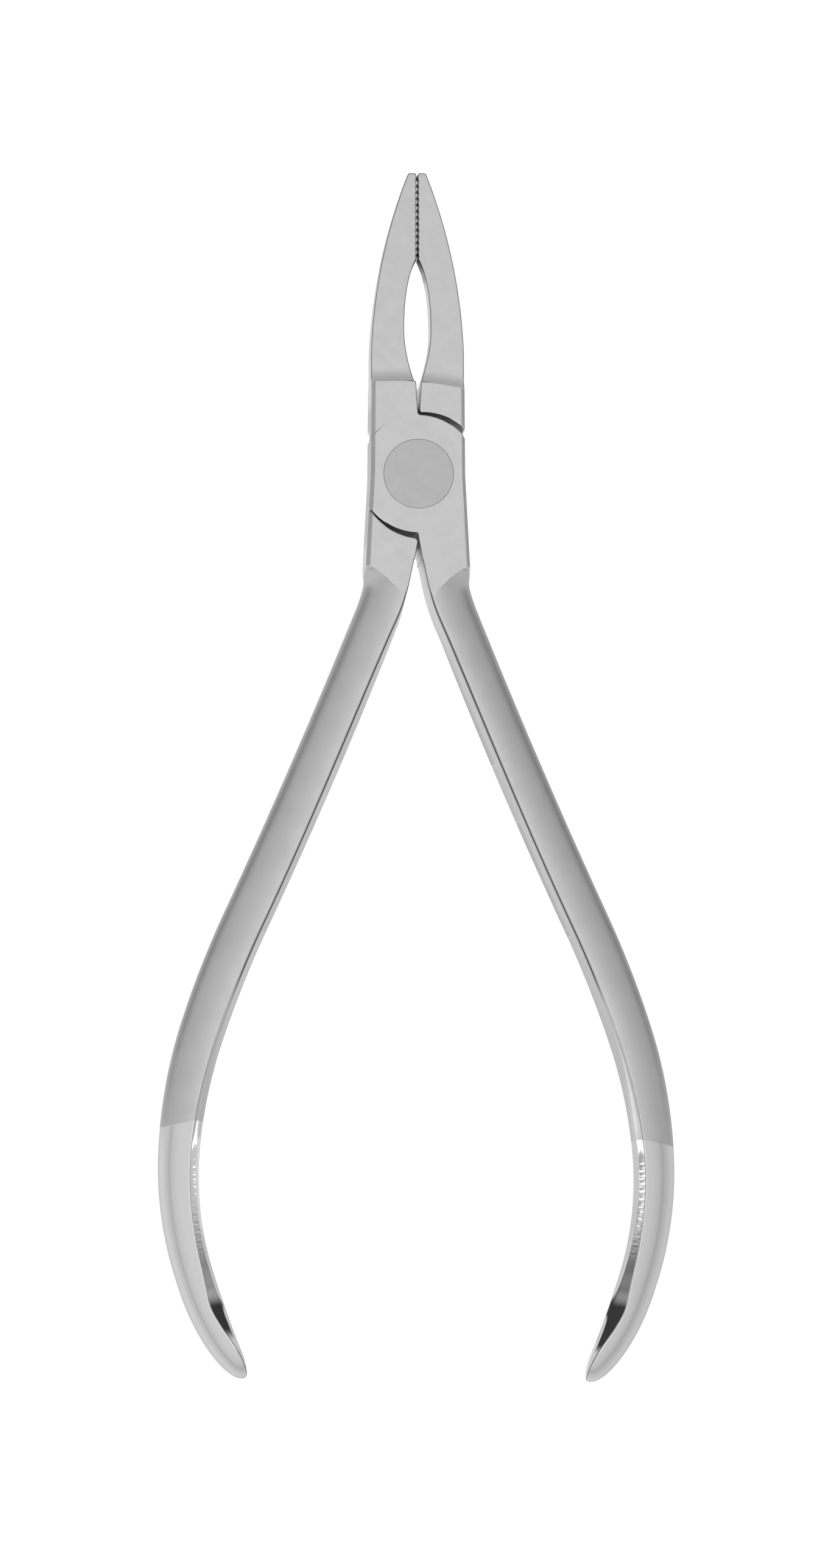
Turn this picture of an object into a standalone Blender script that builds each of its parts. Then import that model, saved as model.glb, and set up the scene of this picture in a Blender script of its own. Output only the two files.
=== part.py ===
# Dental pliers with a lap joint: two forged halves turning on one flush pin.
#
# Frame: +Y points to the jaws, +Z to the face that carries the pin's head, and the
# origin lies on the pin's axis in the back face of the joint. The pliers are closed.
# Both halves are one shape. The lower half is the upper half turned half a turn
# about Y, and they differ only in the bore that each has for the pin.

import math

import bmesh
import bpy
from mathutils import Vector

MM = 0.001

# Joint block
joint_thickness = 7.2 * MM
half_thickness = joint_thickness / 2
joint_half_width = 5.42 * MM
joint_heel_half_width = 6.00 * MM
joint_heel_y = -10.9 * MM
joint_side_inset = 0.09 * MM
heel_flare = 0.42 * MM
heel_flare_length = 2.3 * MM
side_chamfer_in = 0.6 * MM
side_chamfer_down = 1.3 * MM

# Lap: each half is cut to half thickness inside the shoulder radius
lap_radius = 6.85 * MM
lap_edge_clearance = 0.5 * MM
lap_face_clearance = 0.1 * MM
lap_overrun = 0.6 * MM
shoulder_corner_jaw = 0.3 * MM
shoulder_corner_handle = 0.62 * MM
shoulder_radius = lap_radius + lap_edge_clearance

# Pin, riveted in the lower half and turning in the upper one
pin_head_radius = 4.0 * MM
pin_head_thickness = 1.7 * MM
pin_shank_radius = 2.8 * MM
pin_tail_radius = 3.4 * MM
pin_tail_length = 1.1 * MM
pin_clearance = 0.05 * MM
turned_steps = 64

# Jaws
jaw_length = 35.2 * MM
jaw_tip_half_width = 1.10 * MM
jaw_tip_corner = 0.26 * MM
jaw_tip_inner_corner = 0.25 * MM
jaw_flank_start_y = 12.0 * MM
jaw_flank_inset = 0.05 * MM
jaw_base_thickness = 3.9 * MM
jaw_tip_thickness = 2.5 * MM
jaw_gap = 0.2 * MM
land_length = 9.9 * MM
tooth_pitch = 0.73 * MM
tooth_depth = 0.2 * MM
tooth_land = 0.23 * MM
first_tooth_drop = 0.66 * MM

# Eye between the jaws, and the slit from it down to the lap
eye_half_width = 1.53 * MM
eye_widest_y = 17.0 * MM
eye_bottom_y = 10.4 * MM
eye_bottom_half_width = 0.27 * MM
slit_half_width = 0.08 * MM
slit_fillet = 0.3 * MM
eye_top_half_width = 1.07 * MM
eye_throat_half_width = 0.67 * MM

# Cove that steps the jaws back from the joint's flat faces
cove_edge_radius = 37.0 * MM
cove_axis_x = 2.4 * MM
cove_top_y = 10.8 * MM
cove_run = 2.2 * MM

# Crotch between the handles, just below the lap
crotch_lap_overlap = 0.1 * MM
crotch_half_gap = 0.38 * MM
crotch_length = 2.75 * MM

# Handles: the centre line leaves the joint, splays out, and bends back in.
# Each stretch is a length and the angle that the line turns through along it.
handle_inner_x = 0.17 * MM
heel_width = joint_heel_half_width - 0.56 * MM
handle_start_x = handle_inner_x + heel_width / 2
handle_start_y = -7.5 * MM
handle_start_angle = 8.5
handle_root_length = 4.0 * MM
handle_splay_length = 5.0 * MM
handle_shank_length = 38.0 * MM
handle_knee_length = 14.0 * MM
handle_bow_length = 14.0 * MM
handle_return_length = 14.0 * MM
handle_tail_length = 13.7 * MM
handle_stretches = (
    (handle_root_length, -2.4),
    (handle_splay_length, 15.4),
    (handle_shank_length, 3.2),
    (handle_knee_length, -6.8),
    (handle_bow_length, -14.3),
    (handle_return_length, -20.4),
    (handle_tail_length, -8.3),
)
shank_end = handle_root_length + handle_splay_length + handle_shank_length
knee_end = shank_end + handle_knee_length
bow_end = knee_end + handle_bow_length
return_end = bow_end + handle_return_length
handle_length = return_end + handle_tail_length
handle_width = 5.3 * MM
handle_half_height = 2.93 * MM
handle_end_width = 4.26 * MM
handle_end_half_height = 2.15 * MM

# Handle end: the outer edge sweeps in to a small corner at the inner edge, the crown
# rounds down, and the facet along the inner edge runs out before the tip
end_sweep_length = 12.0 * MM
end_corner_length = 3.4 * MM
end_corner_width = 0.9 * MM
end_round_length = 4.0 * MM
facet_run_out = 6.5 * MM

# Handle section by distance along the centre line: distance, width, half height of the
# crown, draft of the inner face, width and height of the inner edge, and how round that
# edge is, from zero for a flat facet to one for a full rounding
handle_sections = (
    (2.0 * MM, heel_width, half_thickness + 0.06 * MM,
     0.00 * MM, 0.10 * MM, 0.15 * MM, 1.0),
    (5.0 * MM, heel_width - 0.40 * MM, half_thickness + 0.04 * MM,
     0.05 * MM, 0.20 * MM, 0.30 * MM, 1.0),
    (8.0 * MM, heel_width - 0.30 * MM, half_thickness - 0.04 * MM,
     0.25 * MM, 0.32 * MM, 0.45 * MM, 1.0),
    (12.0 * MM, handle_width - 0.10 * MM, handle_half_height + 0.49 * MM,
     0.42 * MM, 0.40 * MM, 0.50 * MM, 1.0),
    (shank_end, handle_width, handle_half_height,
     0.51 * MM, 0.44 * MM, 0.52 * MM, 1.0),
    (knee_end, handle_width - 0.11 * MM, handle_half_height - 0.14 * MM,
     0.52 * MM, 0.52 * MM, 0.60 * MM, 0.8),
    (bow_end, handle_end_width + 0.52 * MM, handle_end_half_height + 0.47 * MM,
     0.46 * MM, 0.70 * MM, 0.80 * MM, 0.0),
    (return_end, handle_end_width + 0.20 * MM, handle_end_half_height + 0.25 * MM,
     0.42 * MM, 0.85 * MM, 1.00 * MM, 0.0),
    (handle_length - facet_run_out, handle_end_width + 0.09 * MM,
     handle_end_half_height + 0.12 * MM, 0.38 * MM, 0.80 * MM, 1.00 * MM, 0.0),
    (handle_length, handle_end_width, handle_end_half_height,
     0.20 * MM, 0.10 * MM, 0.50 * MM, 0.0),
)
crown_start_angle = 15.0
inner_edge_segments = 3
station_step = 2.6 * MM
crown_segments = 9

# Heel: the cove that lifts the crown up to the joint's flat face, and its wider outer edge
heel_cove_foot = 6.3 * MM
heel_cove_radius = 2.9 * MM
heel_bulge = 0.54 * MM
heel_bulge_start = 0.5 * MM
heel_opening_run = 1.4 * MM
heel_opening_rise = 2.4 * MM
heel_opening_bulge = 0.8 * MM
heel_opening_y = -8.3 * MM

# Blanks and cutters reach this far past the metal
spare = 3.0 * MM
reach = handle_length + 20.0 * MM
weld_distance = 0.0005 * MM
smooth_angle = 28.0

# Finishes
satin_tone = 0.62
satin_roughness = 0.34
pin_tone = 0.56
pin_roughness = 0.30


def clear_scene():
    for obj in list(bpy.data.objects):
        bpy.data.objects.remove(obj, do_unlink=True)
    for group in list(bpy.data.collections):
        bpy.data.collections.remove(group)


def new_collection(name):
    group = bpy.data.collections.new(name)
    bpy.context.scene.collection.children.link(group)
    return group


def steel(name, tone, roughness):
    mat = bpy.data.materials.new(name)
    mat.use_nodes = True
    shader = mat.node_tree.nodes["Principled BSDF"]
    shader.inputs["Base Color"].default_value = (tone, tone, tone * 1.01, 1.0)
    shader.inputs["Metallic"].default_value = 1.0
    shader.inputs["Roughness"].default_value = roughness
    mat.diffuse_color = (tone, tone, tone, 1.0)
    return mat


def mesh_object(name, mesh, group):
    obj = bpy.data.objects.new(name, mesh)
    group.objects.link(obj)
    return obj


def as_cutter(obj):
    obj.hide_render = True
    obj.display_type = "WIRE"
    return obj


def arc(cx, cy, radius, start, end, count):
    # Points on a circle from one angle to the other, in degrees
    points = []
    for i in range(count + 1):
        angle = math.radians(start + (end - start) * i / count)
        points.append((cx + radius * math.cos(angle), cy + radius * math.sin(angle)))
    return points


def on_circle(radius, x):
    # Height of a circle about the pin at a distance from the centre line
    return math.sqrt(radius ** 2 - x ** 2)


def side_angle():
    # Angle, in degrees, at which the lap circle has run out past the joint's side
    return math.degrees(math.acos(min(1.0, (joint_half_width + lap_overrun) / lap_radius)))


def bend(p0, p1, p2, p3, count):
    # Cubic Bezier from p0 to p3
    points = []
    for i in range(count + 1):
        t = i / count
        a = (1 - t) ** 3
        b = 3 * t * (1 - t) ** 2
        c = 3 * t * t * (1 - t)
        d = t ** 3
        points.append((a * p0[0] + b * p1[0] + c * p2[0] + d * p3[0],
                       a * p0[1] + b * p1[1] + c * p2[1] + d * p3[1]))
    return points


def corner(p0, tip, p1, count):
    # Rounded corner: leaves p0 towards the tip and arrives at p1 from it
    pull = 0.6
    first = (p0[0] + pull * (tip[0] - p0[0]), p0[1] + pull * (tip[1] - p0[1]))
    second = (p1[0] + pull * (tip[0] - p1[0]), p1[1] + pull * (tip[1] - p1[1]))
    return bend(p0, first, second, p1, count)


def plate(name, outline, low, high, group, edge=0.0, stretch=1.0):
    # Flat plate from a closed outline between two heights. Edge is the chamfer on both
    # faces. Stretch makes the plate, and so the chamfer, taller after it is made.
    curve = bpy.data.curves.new(name, "CURVE")
    curve.dimensions = "2D"
    curve.fill_mode = "BOTH"
    curve.extrude = (high - low) / 2 / stretch - edge
    curve.bevel_depth = edge
    curve.bevel_resolution = 0
    curve.offset = -edge
    spline = curve.splines.new("POLY")
    spline.points.add(len(outline) - 1)
    for point, (x, y) in zip(spline.points, outline):
        point.co = (x, y, 0.0, 1.0)
    spline.use_cyclic_u = True
    drawn = bpy.data.objects.new("drawn_outline", curve)
    group.objects.link(drawn)
    drawn.scale.z = stretch
    drawn.location.z = (low + high) / 2
    bpy.context.view_layer.update()
    graph = bpy.context.evaluated_depsgraph_get()
    mesh = bpy.data.meshes.new_from_object(drawn.evaluated_get(graph))
    made = mesh_object(name, mesh, group)
    mesh.transform(drawn.matrix_world)
    bpy.data.objects.remove(drawn, do_unlink=True)
    shape = bmesh.new()
    shape.from_mesh(mesh)
    bmesh.ops.remove_doubles(shape, verts=shape.verts, dist=weld_distance)
    bmesh.ops.recalc_face_normals(shape, faces=shape.faces)
    shape.to_mesh(mesh)
    shape.free()
    return made


def turned(name, profile, group, steps=turned_steps):
    # Round piece about Z. The profile holds radius and height, from top to bottom.
    mesh = bpy.data.meshes.new(name)
    points = [(radius, 0.0, height) for radius, height in profile]
    mesh.from_pydata(points, [(i, i + 1) for i in range(len(points) - 1)], [])
    obj = mesh_object(name, mesh, group)
    screw = obj.modifiers.new("Turn", "SCREW")
    screw.steps = steps
    screw.render_steps = steps
    screw.use_merge_vertices = True
    screw.merge_threshold = weld_distance
    screw.use_smooth_shade = False
    return obj


def combine(obj, tool, operation):
    step = obj.modifiers.new(tool.name, "BOOLEAN")
    step.operation = operation
    step.object = tool
    step.solver = "EXACT"


def finished_mesh(obj, name):
    graph = bpy.context.evaluated_depsgraph_get()
    mesh = bpy.data.meshes.new_from_object(obj.evaluated_get(graph))
    mesh.name = name
    return mesh


def tooth_line():
    # Serrated land of the left jaw, from the tip down to the eye. Each groove is a V.
    points = []
    face_x = -jaw_gap / 2
    count = int(land_length / tooth_pitch)
    top = jaw_length - first_tooth_drop
    for i in range(count):
        groove_top = top - i * tooth_pitch
        groove_bottom = groove_top - (tooth_pitch - tooth_land)
        points.append((face_x, groove_top))
        points.append((face_x - tooth_depth, (groove_top + groove_bottom) / 2))
        points.append((face_x, groove_bottom))
    return points


def eye_line():
    # Inner edge of the left jaw below the land: round the eye and down the slit
    land_end = jaw_length - land_length - tooth_pitch / 2
    rise = land_end - eye_widest_y
    fall = eye_widest_y - eye_bottom_y
    side_pull = 0.42
    end_pull = 0.22
    upper = bend((-jaw_gap / 2, land_end),
                 (-eye_top_half_width, land_end - end_pull * rise),
                 (-eye_half_width, eye_widest_y + side_pull * rise),
                 (-eye_half_width, eye_widest_y), 10)
    lower = bend((-eye_half_width, eye_widest_y),
                 (-eye_half_width, eye_widest_y - side_pull * fall),
                 (-eye_throat_half_width, eye_bottom_y + end_pull * fall),
                 (-eye_bottom_half_width, eye_bottom_y), 10)
    return upper + lower[1:]


def jaw_flank(y):
    # Half width of a jaw at a height: one arc that leaves the joint along its side and
    # comes in to the tip's width
    base = joint_half_width - jaw_flank_inset
    full_run = jaw_length - jaw_tip_corner - jaw_flank_start_y
    full_fall = base - jaw_tip_half_width
    radius = (full_run ** 2 + full_fall ** 2) / (2 * full_fall)
    run = y - jaw_flank_start_y
    return base - radius + math.sqrt(radius ** 2 - run ** 2)


def half_outline():
    # Plan of the upper half: left jaw, lap, and room for the right handle
    face_x = -jaw_gap / 2
    inner = jaw_tip_inner_corner
    points = corner((face_x - inner, jaw_length), (face_x, jaw_length),
                    (face_x, jaw_length - inner), 4)
    points += tooth_line()
    points += eye_line()
    slit_end = lap_radius + slit_fillet
    points += corner((-slit_half_width, slit_end), (-slit_half_width, lap_radius),
                     (slit_fillet, on_circle(lap_radius, slit_fillet)), 4)
    side = side_angle()
    side_y = lap_radius * math.sin(math.radians(side))
    past = joint_heel_half_width + spare
    slit_angle = 90 - math.degrees(math.asin(slit_fillet / lap_radius))
    points += arc(0, 0, lap_radius, slit_angle, side, 14)[1:]
    points += [(past, side_y), (past, joint_heel_y), (reach, joint_heel_y), (reach, -reach)]
    crotch_angle = 270 - math.degrees(math.asin(crotch_lap_overlap / lap_radius))
    points += [(crotch_half_gap, -reach), (crotch_half_gap, -lap_radius - crotch_length)]
    points += arc(0, 0, lap_radius, crotch_angle, 180 + side, 14)
    points += [(-past, -side_y), (-past, jaw_flank_start_y)]
    steps = 14
    top = jaw_length - jaw_tip_corner
    for i in range(steps + 1):
        y = jaw_flank_start_y + (top - jaw_flank_start_y) * i / steps
        points.append((-jaw_flank(y), y))
    end_x = -jaw_flank(top)
    points += corner((end_x, top), (end_x + jaw_tip_corner / 4, jaw_length),
                     (end_x + jaw_tip_corner, jaw_length), 4)[1:]
    return points


def joint_outline():
    # Plan of the joint's flared sides, open wide past the heel for the handles
    heel_end_x = joint_heel_half_width + heel_flare
    heel_end_y = joint_heel_y - heel_flare_length
    far = reach + spare
    jaw_side_x = joint_half_width - joint_side_inset
    right = [(jaw_side_x, far / 2),
             (jaw_side_x, jaw_flank_start_y),
             (joint_half_width, 0.0),
             (joint_heel_half_width, joint_heel_y),
             (heel_end_x, heel_end_y),
             (far, heel_end_y),
             (far, -far)]
    left = [(-x, y) for x, y in reversed(right)]
    return right + left


def lap_room_outline():
    # Room for the other half's lap: the shoulder circle with its two eased corners
    radius = shoulder_radius
    jaw_x = -slit_half_width - shoulder_corner_jaw
    handle_x = shoulder_corner_handle
    top = radius + shoulder_corner_jaw
    bottom = -radius - shoulder_corner_handle
    clear = lap_radius / 6
    jaw_angle = 90 + math.degrees(math.asin(-jaw_x / radius))
    handle_angle = -90 + math.degrees(math.asin(handle_x / radius))
    clear_angle = math.degrees(math.asin(clear / radius))
    points = arc(0, 0, radius, handle_angle, 90 - clear_angle, 36)
    points += [(clear, top), (-slit_half_width, top)]
    points += corner((-slit_half_width, top), (-slit_half_width, radius),
                     (jaw_x, on_circle(radius, jaw_x)), 4)[1:]
    points += arc(0, 0, radius, jaw_angle, 270 - clear_angle, 36)[1:]
    points += [(-clear, bottom), (crotch_lap_overlap, bottom)]
    points += corner((crotch_lap_overlap, bottom), (0.0, -radius),
                     (handle_x, -on_circle(radius, handle_x)), 5)[1:-1]
    return points


def cove_cutter(name, side, group):
    # Clears the space over the jaws on one face: a concave cove, then a taper to the tip.
    # The section is turned about an upright axis beside the pin.
    axis = Vector((-side * cove_axis_x, cove_top_y - cove_edge_radius, 0.0))
    jaw_base = jaw_base_thickness / 2
    drop = half_thickness - jaw_base
    cove_radius = (cove_run ** 2 + drop ** 2) / (2 * drop)
    section = [(cove_edge_radius, half_thickness + spare)]
    steps = 6
    full = math.asin(cove_run / cove_radius)
    for i in range(steps + 1):
        angle = full * (1 - i / steps)
        section.append((cove_edge_radius + cove_run - cove_radius * math.sin(angle),
                        jaw_base + cove_radius * (1 - math.cos(angle))))
    run_out = jaw_length + spare - cove_top_y
    taper = (jaw_base_thickness - jaw_tip_thickness) / 2 / (jaw_length - cove_top_y - cove_run)
    section.append((cove_edge_radius + run_out, jaw_base - taper * (run_out - cove_run)))
    section.append((cove_edge_radius + run_out, half_thickness + spare))
    swing = math.radians(15)
    shape = bmesh.new()
    start = Vector((-math.sin(swing), math.cos(swing), 0.0))
    ring = []
    for radius, height in section:
        ring.append(shape.verts.new(axis + start * radius + Vector((0, 0, side * height))))
    face = shape.faces.new(ring)
    bmesh.ops.spin(shape, geom=[face] + list(face.edges) + list(face.verts), cent=axis,
                   axis=(0, 0, 1), angle=-2 * swing, steps=14, use_duplicate=False)
    bmesh.ops.recalc_face_normals(shape, faces=shape.faces)
    mesh = bpy.data.meshes.new(name)
    shape.to_mesh(mesh)
    shape.free()
    return as_cutter(mesh_object(name, mesh, group))


def handle_path(distance):
    # Point and heading of the centre line. Each stretch is an arc or a straight.
    x = handle_start_x
    y = handle_start_y
    heading = math.radians(handle_start_angle)
    left = distance
    for length, turn in handle_stretches:
        travelled = min(left, length)
        swing = math.radians(turn) * travelled / length
        chord = travelled
        if abs(swing) > 1e-9:
            chord = travelled * math.sin(swing / 2) / (swing / 2)
        x += chord * math.sin(heading + swing / 2)
        y -= chord * math.cos(heading + swing / 2)
        heading += swing
        left -= travelled
        if left <= 0:
            break
    return x, y, heading


def chord(i, column):
    # Slope between two stated sections, held within the first and the last pair
    i = max(0, min(i, len(handle_sections) - 2))
    low = handle_sections[i]
    high = handle_sections[i + 1]
    return (high[column] - low[column]) / (high[0] - low[0])


def handle_size(distance):
    # Width, crown height, draft, the inner edge's width, height and roundness: a smooth
    # curve through the stated sections
    rows = handle_sections
    distance = max(rows[0][0], min(distance, rows[-1][0]))
    i = 0
    while distance > rows[i + 1][0]:
        i += 1
    step = rows[i + 1][0] - rows[i][0]
    t = (distance - rows[i][0]) / step
    sizes = []
    for column in range(1, len(rows[0])):
        start = (chord(i - 1, column) + chord(i, column)) / 2
        end = (chord(i, column) + chord(i + 1, column)) / 2
        low = rows[i][column]
        high = rows[i + 1][column]
        sizes.append(low * (1 + 2 * t) * (1 - t) ** 2 + high * (3 - 2 * t) * t * t
                     + step * (start * t * (1 - t) ** 2 - end * (1 - t) * t * t))
    return sizes


def crown_ring(inner, outer, height, draft, edge_width, edge_height, roundness):
    # Section of the handle across its width: a drafted inner face, an edge that is flat
    # or round, and an arc of an ellipse down to the outer edge, the same above and below
    side = inner + draft
    shoulder = height - edge_height
    upper = []
    for i in range(inner_edge_segments):
        part = i / inner_edge_segments
        turn = math.radians(90 * part)
        upper.append((side + edge_width * (part + roundness * (1 - math.cos(turn) - part)),
                      shoulder + edge_height * (part + roundness * (math.sin(turn) - part))))
    first = math.radians(crown_start_angle)
    peak = height / math.cos(first)
    crown_width = (outer - side - edge_width) / (1 - math.sin(first))
    for i in range(crown_segments):
        angle = first + (math.pi / 2 - first) * i / crown_segments
        upper.append((outer - crown_width * (1 - math.sin(angle)), peak * math.cos(angle)))
    lower = [(across, -up) for across, up in reversed(upper)]
    return [(inner, 0.0)] + upper + [(outer, 0.0)] + lower


def handle_stations():
    # Distance, extra height and extra width of every section along the handle
    stations = [(heel_cove_foot - heel_cove_radius - heel_opening_run,
                 heel_cove_radius + heel_opening_rise, heel_opening_bulge)]
    cove_steps = 7
    cove_swing = 88.0
    for i in range(cove_steps, 0, -1):
        angle = math.radians(cove_swing * i / cove_steps)
        back = heel_cove_radius * math.sin(angle)
        lift = heel_cove_radius * (1 - math.cos(angle))
        part = max(0.0, (back - heel_bulge_start) / (heel_cove_radius - heel_bulge_start))
        stations.append((heel_cove_foot - back, lift, heel_bulge * part ** 2))
    plain_length = handle_length - end_sweep_length - heel_cove_foot
    count = int(plain_length / station_step)
    for i in range(count + 1):
        stations.append((heel_cove_foot + plain_length * i / count, 0.0, 0.0))
    end_steps = 13
    end_swing = 88.0
    for i in range(1, end_steps + 1):
        angle = math.radians(end_swing * i / end_steps)
        stations.append((handle_length - end_sweep_length * (1 - math.sin(angle)), 0.0, 0.0))
    return stations


def end_share(distance, length):
    # Quarter ellipse that falls from one to nothing over the last length of the handle
    part = max(0.0, 1 - (handle_length - distance) / length)
    return math.sqrt(1 - part * part)


def crown_envelope(name, group):
    # The forged crown: a loft along the handle that opens wide above the heel, so that
    # it bounds only the handle and the heel when the flat blank is cut to it
    rings = []
    wide = joint_heel_half_width + spare
    open_ring = crown_ring(-wide, wide, half_thickness + 2 * spare, 0.0, 0.0, spare, 0.0)
    for y in (jaw_length + spare, heel_opening_y):
        rings.append([(across, y, up) for across, up in open_ring])
    for along, lift, widen in handle_stations():
        width, height, draft, edge_width, edge_height, roundness = handle_size(along)
        sweep = end_share(along, end_sweep_length)
        low = end_share(along, end_round_length)
        inner = -width / 2 + end_corner_width * (1 - end_share(along, end_corner_length))
        outer = -width / 2 + end_corner_width + (width - end_corner_width) * sweep + widen
        opened = (lift + edge_height) / edge_height
        x, y, heading = handle_path(along)
        ring = crown_ring(inner, outer, (height + lift) * low, draft * low,
                          edge_width * opened * low, edge_height * opened * low, roundness)
        rings.append([(x + across * math.cos(heading), y + across * math.sin(heading), up)
                      for across, up in ring])
    shape = bmesh.new()
    loops = []
    for ring in rings:
        loops.append([shape.verts.new(point) for point in ring])
    size = len(loops[0])
    for first, second in zip(loops, loops[1:]):
        for i in range(size):
            j = (i + 1) % size
            shape.faces.new((first[i], first[j], second[j], second[i]))
    shape.faces.new(loops[0])
    shape.faces.new(loops[-1])
    bmesh.ops.recalc_face_normals(shape, faces=shape.faces)
    mesh = bpy.data.meshes.new(name)
    shape.to_mesh(mesh)
    shape.free()
    return as_cutter(mesh_object(name, mesh, group))


def forged_half(cutters):
    # One half about the joint's middle plane, without its bore
    blank = as_cutter(plate("half_blank", half_outline(), -half_thickness - spare,
                            half_thickness + spare, cutters))
    stretch = side_chamfer_down / side_chamfer_in
    block = as_cutter(plate("joint_envelope", joint_outline(), -half_thickness,
                            half_thickness, cutters, side_chamfer_in, stretch))
    crown = crown_envelope("crown_envelope", cutters)
    lap_room = as_cutter(plate("lap_room", lap_room_outline(), -half_thickness - spare,
                               lap_face_clearance / 2, cutters))
    front_cove = cove_cutter("front_cove", 1, cutters)
    back_cove = cove_cutter("back_cove", -1, cutters)
    combine(blank, block, "INTERSECT")
    combine(blank, crown, "INTERSECT")
    combine(blank, front_cove, "DIFFERENCE")
    combine(blank, back_cove, "DIFFERENCE")
    combine(blank, lap_room, "DIFFERENCE")
    mesh = finished_mesh(blank, "forged_half")
    for tool in (blank, block, crown, lap_room, front_cove, back_cove):
        bpy.data.objects.remove(tool, do_unlink=True)
    return mesh


def pin_profile(clearance):
    # The pin from head to riveted tail. With a clearance it is the bore's profile.
    over = spare if clearance > 0 else 0.0
    head = pin_head_radius + clearance
    shank = pin_shank_radius + clearance
    tail = pin_tail_radius + clearance
    under_head = joint_thickness - pin_head_thickness - clearance
    profile = [(0.0, joint_thickness + over),
               (head, joint_thickness + over),
               (head, under_head),
               (shank, under_head),
               (shank, pin_tail_length),
               (tail, 0.0)]
    if over > 0:
        profile.append((tail, -over))
    profile.append((0.0, -over))
    return profile


def place_half(name, mesh, flipped, bore, group, mat):
    obj = mesh_object(name, mesh, group)
    obj.location = (0.0, 0.0, half_thickness)
    if flipped:
        obj.rotation_euler = (0.0, math.pi, 0.0)
    obj.data.materials.clear()
    obj.data.materials.append(mat)
    combine(obj, bore, "DIFFERENCE")
    obj.data.shade_smooth()
    obj.data.set_sharp_from_angle(angle=math.radians(smooth_angle))
    return obj


def pivot_pin(group, mat):
    obj = turned("pivot_pin", pin_profile(0.0), group)
    obj.data.materials.append(mat)
    return obj


def build():
    clear_scene()
    parts = new_collection("dental_pliers")
    cutters = new_collection("cutters")
    mesh = forged_half(cutters)
    bore = as_cutter(turned("pin_bore", pin_profile(pin_clearance), cutters))
    satin_upper = steel("satin_steel_upper", satin_tone, satin_roughness)
    satin_lower = steel("satin_steel_lower", satin_tone, satin_roughness)
    ground_pin = steel("ground_pin_steel", pin_tone, pin_roughness)
    place_half("upper_half", mesh, False, bore, parts, satin_upper)
    place_half("lower_half", mesh.copy(), True, bore, parts, satin_lower)
    pivot_pin(parts, ground_pin)


build()
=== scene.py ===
import math

import bmesh
import bpy
import numpy as np
from mathutils import Matrix, Vector


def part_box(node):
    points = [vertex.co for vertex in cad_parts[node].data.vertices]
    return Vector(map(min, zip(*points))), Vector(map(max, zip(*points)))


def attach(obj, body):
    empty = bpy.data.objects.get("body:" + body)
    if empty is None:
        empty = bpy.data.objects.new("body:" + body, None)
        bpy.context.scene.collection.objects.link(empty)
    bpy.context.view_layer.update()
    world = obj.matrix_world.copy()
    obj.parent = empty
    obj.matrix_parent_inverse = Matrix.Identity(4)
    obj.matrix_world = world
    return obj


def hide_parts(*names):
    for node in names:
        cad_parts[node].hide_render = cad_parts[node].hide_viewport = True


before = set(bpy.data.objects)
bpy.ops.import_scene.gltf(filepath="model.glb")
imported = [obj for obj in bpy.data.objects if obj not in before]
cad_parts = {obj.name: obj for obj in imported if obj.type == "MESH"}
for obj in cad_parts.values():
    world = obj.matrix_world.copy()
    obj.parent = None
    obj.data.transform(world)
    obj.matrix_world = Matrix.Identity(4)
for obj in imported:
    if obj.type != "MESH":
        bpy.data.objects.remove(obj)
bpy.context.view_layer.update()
mm = 0.001
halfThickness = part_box("upper_half")[1].z / 2 / mm   # the joint's, in millimetres like every size below
spare = 3.0                                          # how far a blank or a cutter reaches past the metal
print("frame loaded, joint", round(2 * halfThickness, 2), "mm thick")


# Small numpy tools. A point list is an (n, 2) array in millimetres.

def arcPoints(radius, start, end, count):
    # Points on a circle about the pin: (r cos a, r sin a) for evenly spaced a
    a = np.radians(np.linspace(start, end, count + 1))
    return np.column_stack((radius * np.cos(a), radius * np.sin(a)))


def bezier(p0, p1, p2, p3, count):
    # Cubic Bezier: the four corners weighed by (1-t)^3, 3t(1-t)^2, 3t^2(1-t), t^3
    t = np.linspace(0, 1, count + 1)[:, None]
    p0, p1, p2, p3 = (np.array(p, float) for p in (p0, p1, p2, p3))
    return (1 - t) ** 3 * p0 + 3 * t * (1 - t) ** 2 * p1 + 3 * t * t * (1 - t) * p2 + t ** 3 * p3


def easedCorner(p0, tip, p1, count, pull=0.6):
    # Bezier whose handles reach a share of the way to the corner's tip
    p0, tip, p1 = (np.array(p, float) for p in (p0, tip, p1))
    return bezier(p0, p0 + pull * (tip - p0), p1 + pull * (tip - p1), p1, count)


def onCircle(radius, x):
    # Height of the circle above x: the root of r^2 - x^2
    return math.sqrt(radius ** 2 - x ** 2)


def insetOutline(points, distance):
    # Each point moves in along its mitre: the sum of both edge normals over 1 + their cosine
    ahead = np.roll(points, -1, axis=0) - points
    ahead /= np.linalg.norm(ahead, axis=1)[:, None]
    normal = np.column_stack((-ahead[:, 1], ahead[:, 0]))
    before = np.roll(normal, 1, axis=0)
    mitre = (normal + before) / (1 + (normal * before).sum(1))[:, None]
    turn = np.roll(points, -1, axis=0)
    area = (points[:, 0] * turn[:, 1] - turn[:, 0] * points[:, 1]).sum()
    return points + mitre * distance * np.sign(area)


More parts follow.
